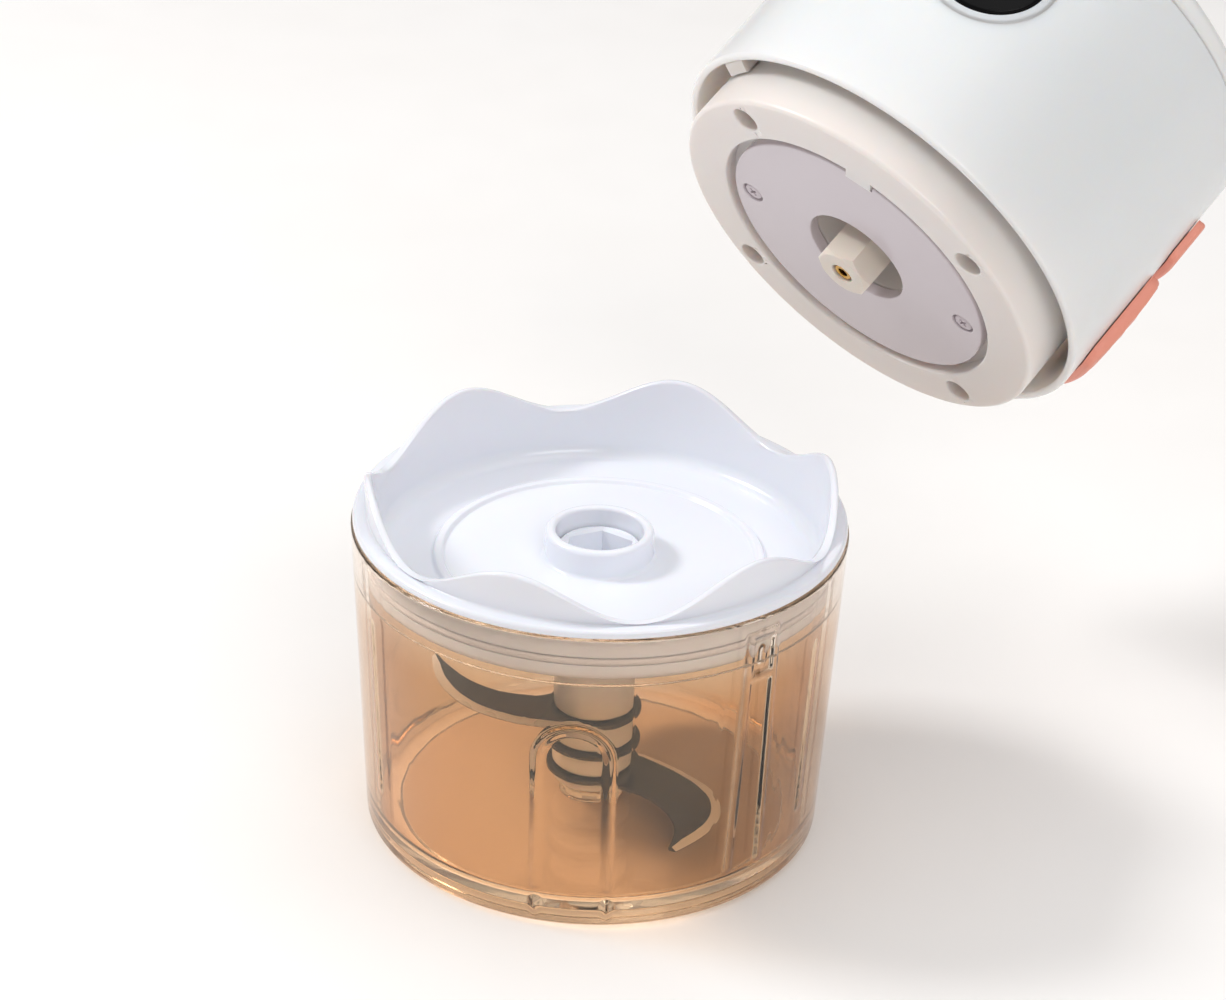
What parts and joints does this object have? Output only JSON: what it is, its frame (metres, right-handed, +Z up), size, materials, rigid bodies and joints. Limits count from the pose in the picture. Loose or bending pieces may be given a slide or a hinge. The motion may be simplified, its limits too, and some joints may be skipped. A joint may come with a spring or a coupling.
{
  "type": "food processor",
  "caption": "Cordless mini food processor: clear bowl with stacked blades, lid with a wavy collar, and a motor head lifted off and tilted.",
  "frame": {"origin": "centre of the flat underside of the bowl's base pad", "axes": "+Z up, along the bowl's and the blades' axis; +X to the right and +Y to the back, where the lifted motor head is to the right and behind"},
  "size_m": [0.2124, 0.211, 0.2131],
  "materials": {
    "clear_bowl": "clear, faint warm tint",
    "white_plastic": "gloss",
    "flange_plastic": "satin, warm white",
    "disc_plastic": "gloss, warm grey white",
    "silicone": "soft translucent white",
    "blade_steel": "polished with ground edges",
    "screw_steel": "zinc plated",
    "brass": "turned",
    "windings": "enamelled copper",
    "black_plastic": "matt",
    "black_button": "high gloss",
    "board": "solder mask",
    "coral": "soft touch",
    "cell_wrap": "shrink wrap"
  },
  "bodies": {
    "bowl": {"bowl": "clear_bowl", "base_pad": "silicone", "blade_pin": "blade_steel"},
    "lid": {"lid": "white_plastic", "lid_gasket": "silicone"},
    "blades": {"blade_hub": "white_plastic", "lower_blade": "blade_steel", "lower_spacer": "white_plastic", "middle_blade": "blade_steel", "middle_spacer": "white_plastic", "upper_blade": "blade_steel", "upper_sleeve": "white_plastic", "drive_socket": "white_plastic"},
    "interlock": {"interlock_slider": "flange_plastic"},
    "motor_head": {"barrel_shell": "white_plastic", "top_cover": "white_plastic", "flange_housing": "flange_plastic", "motor_frame": "white_plastic", "flange_disc": "disc_plastic", "flange_screw_1": "screw_steel", "flange_screw_2": "screw_steel", "flange_screw_3": "screw_steel", "flange_screw_4": "screw_steel", "disc_screw_1": "screw_steel", "disc_screw_2": "screw_steel", "button_bezel": "white_plastic", "control_board": "board", "button_switch": "black_plastic", "motor_can": "screw_steel", "motor_cap": "black_plastic", "lower_bearing": "brass", "upper_bearing": "brass", "battery_cradle": "black_plastic", "battery_cell": "cell_wrap", "grip_pad": "coral", "charge_socket": "screw_steel"},
    "drive": {"drive_coupling": "flange_plastic", "brass_insert": "brass", "drive_shaft": "screw_steel", "armature": "windings"},
    "button": {"power_button": "black_button"},
    "cover": {"charging_cover": "coral"}
  },
  "joints": [
    {"name": "lid_lift", "type": "slide", "parent": "bowl", "child": "lid", "axis": [0, 0, 1], "range_m": [0, 0.05]},
    {"name": "blade_spin", "type": "hinge", "parent": "bowl", "child": "blades", "pos_m": [0, 0, 0.03], "axis": [0, 0, 1], "continuous": true},
    {"name": "head_swing", "type": "hinge", "parent": "lid", "child": "interlock", "pos_m": [0.04879, 0.04794, 0.0307], "axis": [-0.7009, 0.7133, 0], "range_deg": [-57.8, 0]},
    {"name": "head_dock", "type": "slide", "parent": "interlock", "child": "motor_head", "axis": [0.6035, 0.5931, 0.5329], "range_m": [-0.02, 0]},
    {"name": "drive_spin", "type": "hinge", "parent": "motor_head", "child": "drive", "pos_m": [0.05949, 0.05846, 0.12098], "axis": [0.6035, 0.5931, 0.5329], "continuous": true},
    {"name": "power_press", "type": "slide", "parent": "motor_head", "child": "button", "axis": [-0.105, -0.6034, 0.7905], "range_m": [-0.0016, 0], "stiffness_N_per_m": 900, "springref_m": 0.001},
    {"name": "cover_open", "type": "hinge", "parent": "motor_head", "child": "cover", "pos_m": [0.13647, 0.07309, 0.11321], "axis": [-0.2068, 0.7619, -0.6138], "range_deg": [0, 100]}
  ]
}
